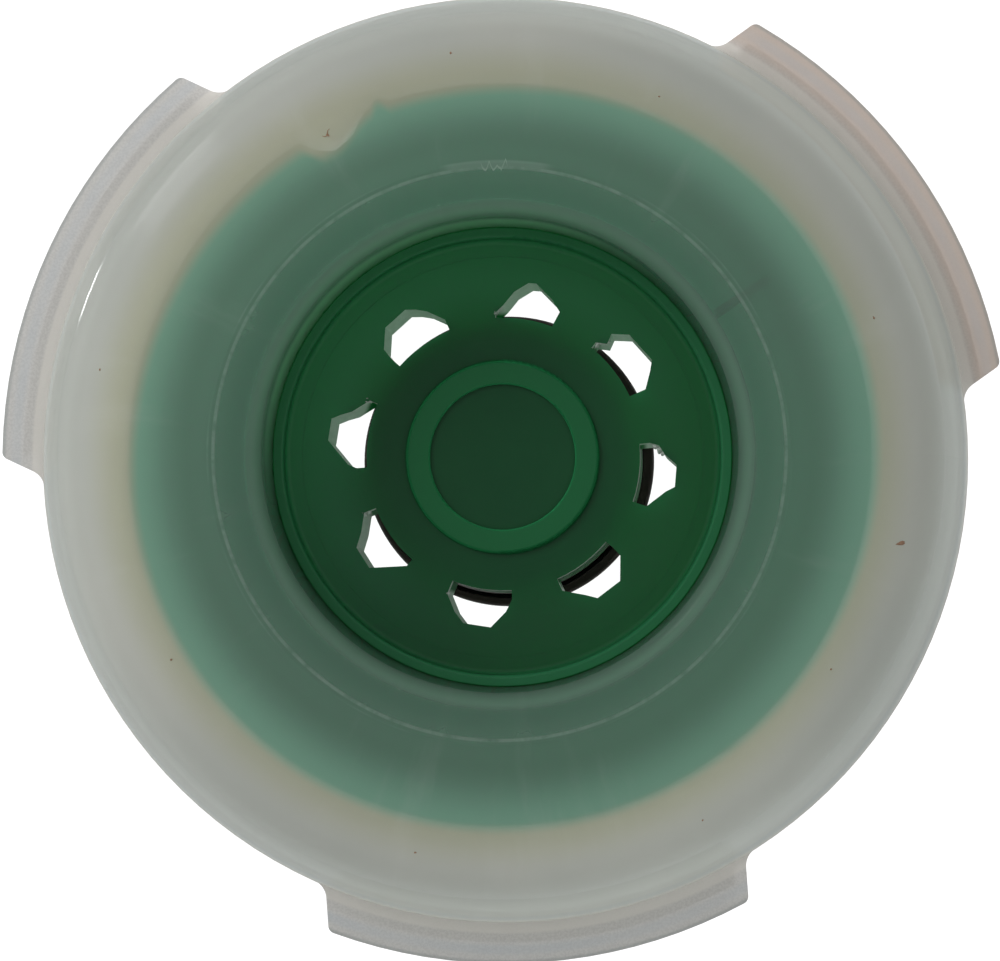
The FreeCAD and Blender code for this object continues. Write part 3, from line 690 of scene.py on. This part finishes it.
def sponge(material):
    """Foam plug with open pores, a soft top edge and a slightly pinched waist."""
    low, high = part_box("lure_sponge")
    bottom, top = low.z, high.z
    outer = high.x - 0.5 * MM
    soft = 2.2 * MM
    around, rows, rings = 132, 34, 15
    outline = [(outer * share / rings, bottom) for share in range(1, rings)]
    for row in range(rows + 1):
        share = row / rows
        edge = min(share, 1 - share) * (top - bottom)
        inset = soft - math.sqrt(max(soft ** 2 - max(soft - edge, 0) ** 2, 0))
        pinch = 0.35 * MM * math.sin(math.pi * share)
        outline.append((outer - inset - pinch, bottom + (top - bottom) * share))
    outline += [(outer * (rings - share) / rings, top) for share in range(1, rings)]
    points = [Vector((0, 0, bottom))]
    for radius, height in outline:
        for step in range(around):
            turn = TAU * step / around
            place = Vector((radius * math.cos(turn), radius * math.sin(turn), height))
            out = Vector((place.x, place.y, 0)).normalized()
            if height <= bottom + 1e-6:
                out = Vector((0, 0, -1))
            elif height >= top - 1e-6:
                out = Vector((0, 0, 1))
            pore = max(0.0, noise.noise(place * 620.0) + 0.15)
            lumpy = noise.noise(place * 120.0)
            points.append(place - out * (pore * 0.8 + 0.15 + 0.2 * abs(lumpy)) * MM)
    points.append(Vector((0, 0, top - 0.3 * MM)))
    faces = []
    last = len(points) - 1
    for step in range(around):
        after = (step + 1) % around
        faces.append((0, 1 + after, 1 + step))
        end = 1 + (len(outline) - 1) * around
        faces.append((last, end + step, end + after))
        for row in range(len(outline) - 1):
            start = 1 + row * around
            faces.append((start + step, start + after, start + around + after, start + around + step))
    piece = mesh_piece("lure_foam", points, faces, material, "cup")
    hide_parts("lure_sponge")


# ---------------------------------------------------------------- the making

add_camera()

materials = {
    "milky_plastic": milky_plastic(), "green_plastic": green_plastic(), "black_plastic": black_plastic(),
    "clear_plastic": clear_plastic(), "bush_plastic": nylon(), "rubber": silicone(),
    "steel_wire": steel(), "sponge": foam(),
}
for row in frame["record"]["subparts"]:
    node = nodes[row["node"]]
    node.data.materials.clear()
    node.data.materials.append(materials[row["material_slot"]])

cone = nodes["shade_cone"]
cone.data.materials.clear()
cone.data.materials.append(green_plastic("thin_green_plastic", thin=True))

hole_burrs(green_plastic("torn_green_plastic", torn=True))
dirt_specks(dirt())
sponge(materials["sponge"])
hub_low, hub_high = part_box("hub_cap")
seal_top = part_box("hub_seal")[1].z
grip_ribs("hub_grip_ribs", 36, hub_high.x, seal_top + 0.6 * MM, seal_top + 2.9 * MM, 0.5 * MM,
          materials["green_plastic"], "lid")
hub_nut_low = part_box("hub_nut")[0].z
thread("hub_thread", 7.98 * MM, hub_low.z + 0.5 * MM, hub_nut_low - 0.2 * MM, 1.1 * MM, 0.22 * MM,
       materials["green_plastic"], "lid")
wire_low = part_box("hanger_hook")[0].z
hook_nut_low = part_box("hook_nut")[0].z
thread("hook_thread", 1.48 * MM, wire_low + 0.05 * MM, hook_nut_low - 0.02 * MM, 0.35 * MM, 0.1 * MM,
       materials["steel_wire"], "hook")

add_floor(floor_paper())
add_room_light()
add_area("soft_front", Vector((-0.55, -0.45, -0.70)), LIGHTS_AIM, (0.6, 0.6), 3.0, mirrored=False)
add_area("soft_top", Vector((0.3, -0.5, 0.9)), LIGHTS_AIM, (0.8, 0.8), 9.0, mirrored=False)
add_area("side_panel", polar(-140.0, 0.95, 0.12), LIGHTS_AIM, (0.25, 0.7), 1.2)
add_area("streak_box", polar(-157.3, 0.41, 0.845), LIGHTS_AIM, (0.045, 0.035), 0.10)

view = bpy.context.scene.view_settings
view.view_transform = "Standard"
view.look = "None"
bpy.context.scene.cycles.transparent_max_bounces = 24
